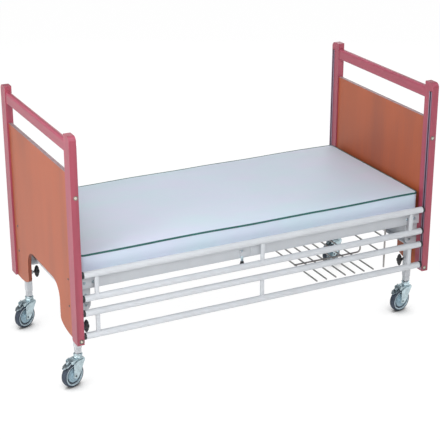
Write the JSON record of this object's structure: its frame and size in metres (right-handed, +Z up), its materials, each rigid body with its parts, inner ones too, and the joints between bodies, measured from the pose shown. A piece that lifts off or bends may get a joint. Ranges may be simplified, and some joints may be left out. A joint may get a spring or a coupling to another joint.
{
  "type": "hospital bed",
  "caption": "Hospital bed with wooden end boards, sliding tube cot sides, hinged backrest platform, mattress, telescopic legs and braked swivel castors.",
  "frame": {"origin": "on the floor, under the middle of the whole outline, which the head castors' wheels widen at -X", "axes": "+X runs from the head board to the foot board, +Y across the bed to the far side, +Z up"},
  "size_m": [2.0562, 0.996, 1.31],
  "materials": {
    "stained_wood": "satin crimson stain",
    "laminate": "matt woodgrain laminate",
    "aluminium": "satin anodised",
    "white_paint": "semi-gloss powder coat",
    "zinc": "bright zinc plate",
    "wire": "dull zinc wire",
    "black_plastic": "matt",
    "castor_wheel": "grey tyre on a plastic rim",
    "mattress_cover": "smooth coated cover with green piping"
  },
  "bodies": {
    "bed_frame": {"centre_cross_tube": "white_paint", "foot_end_member": "white_paint", "foot_leg_socket_far": "white_paint", "foot_leg_socket_near": "white_paint", "foot_panel": "laminate", "foot_post_far": "stained_wood", "foot_post_near": "stained_wood", "foot_runner_far": "aluminium", "foot_runner_near": "aluminium", "foot_side_rail_far": "white_paint", "foot_side_rail_near": "white_paint", "foot_top_rail": "stained_wood", "head_end_member": "white_paint", "head_leg_socket_far": "white_paint", "head_leg_socket_near": "white_paint", "head_panel": "laminate", "head_post_far": "stained_wood", "head_post_near": "stained_wood", "head_runner_far": "aluminium", "head_runner_near": "aluminium", "head_side_rail_far": "white_paint", "head_side_rail_near": "white_paint", "head_top_rail": "stained_wood", "mattress": "mattress_cover", "prop_cross_tube": "white_paint", "seat_platform": "white_paint", "wire_rack": "wire"},
    "backrest": {"backrest_platform": "white_paint"},
    "prop": {"backrest_prop": "zinc"},
    "cot_near_lower": {"cot_near_lower": "white_paint"},
    "cot_near_upper": {"cot_near_upper": "white_paint"},
    "lock_screw_near": {"lock_screw_near": "black_plastic"},
    "head_catch_button_near": {"head_catch_button_near": "zinc"},
    "head_leg_tube_near": {"head_leg_tube_near": "white_paint"},
    "head_leg_knob_near": {"head_leg_knob_near": "black_plastic"},
    "head_castor_fork_near": {"head_castor_fork_near": "zinc"},
    "head_castor_wheel_near": {"head_castor_wheel_near": "castor_wheel"},
    "head_castor_pedal_near": {"head_castor_pedal_near": "zinc"},
    "foot_catch_button_near": {"foot_catch_button_near": "zinc"},
    "foot_leg_tube_near": {"foot_leg_tube_near": "white_paint"},
    "foot_leg_knob_near": {"foot_leg_knob_near": "black_plastic"},
    "foot_castor_fork_near": {"foot_castor_fork_near": "zinc"},
    "foot_castor_wheel_near": {"foot_castor_wheel_near": "castor_wheel"},
    "foot_castor_pedal_near": {"foot_castor_pedal_near": "zinc"},
    "cot_far_lower": {"cot_far_lower": "white_paint"},
    "cot_far_upper": {"cot_far_upper": "white_paint"},
    "lock_screw_far": {"lock_screw_far": "black_plastic"},
    "head_catch_button_far": {"head_catch_button_far": "zinc"},
    "head_leg_tube_far": {"head_leg_tube_far": "white_paint"},
    "head_leg_knob_far": {"head_leg_knob_far": "black_plastic"},
    "head_castor_fork_far": {"head_castor_fork_far": "zinc"},
    "head_castor_wheel_far": {"head_castor_wheel_far": "castor_wheel"},
    "head_castor_pedal_far": {"head_castor_pedal_far": "zinc"},
    "foot_catch_button_far": {"foot_catch_button_far": "zinc"},
    "foot_leg_tube_far": {"foot_leg_tube_far": "white_paint"},
    "foot_leg_knob_far": {"foot_leg_knob_far": "black_plastic"},
    "foot_castor_fork_far": {"foot_castor_fork_far": "zinc"},
    "foot_castor_wheel_far": {"foot_castor_wheel_far": "castor_wheel"},
    "foot_castor_pedal_far": {"foot_castor_pedal_far": "zinc"}
  },
  "joints": [
    {"name": "backrest_tilt", "type": "hinge", "parent": "bed_frame", "child": "backrest", "pos_m": [-0.14187, 0, 0.5843], "axis": [0, 1, 0], "range_deg": [0, 60], "deforming": ["mattress"]},
    {"name": "prop_swing", "type": "hinge", "parent": "bed_frame", "child": "prop", "pos_m": [-0.44187, 0, 0.5843], "axis": [0, 1, 0], "range_deg": [0, 120]},
    {"name": "cot_near_lower_slide", "type": "slide", "parent": "bed_frame", "child": "cot_near_lower", "axis": [0, 0, 1], "range_m": [0, 0.36]},
    {"name": "cot_near_upper_slide", "type": "slide", "parent": "cot_near_lower", "child": "cot_near_upper", "axis": [0, 0, 1], "range_m": [0, 0.06]},
    {"name": "lock_screw_near_turn", "type": "hinge", "parent": "bed_frame", "child": "lock_screw_near", "pos_m": [-0.07187, -0.449, 0.515], "axis": [0, 0, 1], "range_deg": [0, 180]},
    {"name": "head_catch_button_near_press", "type": "slide", "parent": "bed_frame", "child": "head_catch_button_near", "axis": [0, 1, 0], "range_m": [0, 0.002], "stiffness_N_per_m": 400, "springref_m": -0.002},
    {"name": "head_leg_tube_near_slide", "type": "slide", "parent": "bed_frame", "child": "head_leg_tube_near", "axis": [0, 0, -1], "range_m": [0, 0.15]},
    {"name": "head_leg_knob_near_turn", "type": "hinge", "parent": "bed_frame", "child": "head_leg_knob_near", "pos_m": [-0.87657, -0.365, 0.3], "axis": [1, 0, 0], "range_deg": [0, 180]},
    {"name": "head_castor_swivel_near", "type": "hinge", "parent": "head_leg_tube_near", "child": "head_castor_fork_near", "pos_m": [-0.92657, -0.365, 0.166], "axis": [0, 0, 1], "continuous": true},
    {"name": "head_castor_roll_near", "type": "hinge", "parent": "head_castor_fork_near", "child": "head_castor_wheel_near", "pos_m": [-0.96366, -0.37998, 0.0625], "axis": [-0.3746, 0.9272, 0], "continuous": true},
    {"name": "head_castor_brake_near", "type": "hinge", "parent": "head_castor_fork_near", "child": "head_castor_pedal_near", "pos_m": [-0.97571, -0.38485, 0.136], "axis": [0.3746, -0.9272, 0], "range_deg": [0, 12]},
    {"name": "foot_catch_button_near_press", "type": "slide", "parent": "bed_frame", "child": "foot_catch_button_near", "axis": [0, 1, 0], "range_m": [0, 0.002], "stiffness_N_per_m": 400, "springref_m": -0.002},
    {"name": "foot_leg_tube_near_slide", "type": "slide", "parent": "bed_frame", "child": "foot_leg_tube_near", "axis": [0, 0, -1], "range_m": [0, 0.15]},
    {"name": "foot_leg_knob_near_turn", "type": "hinge", "parent": "bed_frame", "child": "foot_leg_knob_near", "pos_m": [0.93283, -0.365, 0.3], "axis": [1, 0, 0], "range_deg": [0, 180]},
    {"name": "foot_castor_swivel_near", "type": "hinge", "parent": "foot_leg_tube_near", "child": "foot_castor_fork_near", "pos_m": [0.98283, -0.365, 0.166], "axis": [0, 0, 1], "continuous": true},
    {"name": "foot_castor_roll_near", "type": "hinge", "parent": "foot_castor_fork_near", "child": "foot_castor_wheel_near", "pos_m": [0.94356, -0.37263, 0.0625], "axis": [-0.1908, 0.9816, 0], "continuous": true},
    {"name": "foot_castor_brake_near", "type": "hinge", "parent": "foot_castor_fork_near", "child": "foot_castor_pedal_near", "pos_m": [0.9308, -0.37511, 0.136], "axis": [0.1908, -0.9816, 0], "range_deg": [0, 12]},
    {"name": "cot_far_lower_slide", "type": "slide", "parent": "bed_frame", "child": "cot_far_lower", "axis": [0, 0, 1], "range_m": [0, 0.36]},
    {"name": "cot_far_upper_slide", "type": "slide", "parent": "cot_far_lower", "child": "cot_far_upper", "axis": [0, 0, 1], "range_m": [0, 0.06]},
    {"name": "lock_screw_far_turn", "type": "hinge", "parent": "bed_frame", "child": "lock_screw_far", "pos_m": [-0.07187, 0.449, 0.515], "axis": [0, 0, 1], "range_deg": [0, 180]},
    {"name": "head_catch_button_far_press", "type": "slide", "parent": "bed_frame", "child": "head_catch_button_far", "axis": [0, -1, 0], "range_m": [0, 0.002], "stiffness_N_per_m": 400, "springref_m": -0.002},
    {"name": "head_leg_tube_far_slide", "type": "slide", "parent": "bed_frame", "child": "head_leg_tube_far", "axis": [0, 0, -1], "range_m": [0, 0.15]},
    {"name": "head_leg_knob_far_turn", "type": "hinge", "parent": "bed_frame", "child": "head_leg_knob_far", "pos_m": [-0.87657, 0.365, 0.3], "axis": [1, 0, 0], "range_deg": [0, 180]},
    {"name": "head_castor_swivel_far", "type": "hinge", "parent": "head_leg_tube_far", "child": "head_castor_fork_far", "pos_m": [-0.92657, 0.365, 0.166], "axis": [0, 0, 1], "continuous": true},
    {"name": "head_castor_roll_far", "type": "hinge", "parent": "head_castor_fork_far", "child": "head_castor_wheel_far", "pos_m": [-0.96282, 0.34809, 0.0625], "axis": [-0.4226, 0.9063, 0], "continuous": true},
    {"name": "head_castor_brake_far", "type": "hinge", "parent": "head_castor_fork_far", "child": "head_castor_pedal_far", "pos_m": [-0.9746, 0.3426, 0.136], "axis": [0.4226, -0.9063, 0], "range_deg": [0, 12]},
    {"name": "foot_catch_button_far_press", "type": "slide", "parent": "bed_frame", "child": "foot_catch_button_far", "axis": [0, -1, 0], "range_m": [0, 0.002], "stiffness_N_per_m": 400, "springref_m": -0.002},
    {"name": "foot_leg_tube_far_slide", "type": "slide", "parent": "bed_frame", "child": "foot_leg_tube_far", "axis": [0, 0, -1], "range_m": [0, 0.15]},
    {"name": "foot_leg_knob_far_turn", "type": "hinge", "parent": "bed_frame", "child": "foot_leg_knob_far", "pos_m": [0.93283, 0.365, 0.3], "axis": [1, 0, 0], "range_deg": [0, 180]},
    {"name": "foot_castor_swivel_far", "type": "hinge", "parent": "foot_leg_tube_far", "child": "foot_castor_fork_far", "pos_m": [0.98283, 0.365, 0.166], "axis": [0, 0, 1], "continuous": true},
    {"name": "foot_castor_roll_far", "type": "hinge", "parent": "foot_castor_fork_far", "child": "foot_castor_wheel_far", "pos_m": [0.94419, 0.35465, 0.0625], "axis": [-0.2588, 0.9659, 0], "continuous": true},
    {"name": "foot_castor_brake_far", "type": "hinge", "parent": "foot_castor_fork_far", "child": "foot_castor_pedal_far", "pos_m": [0.93164, 0.35128, 0.136], "axis": [0.2588, -0.9659, 0], "range_deg": [0, 12]}
  ],
  "couplings": [
    {"joint": "prop_swing", "follows": "backrest_tilt", "ratio": 2}
  ]
}
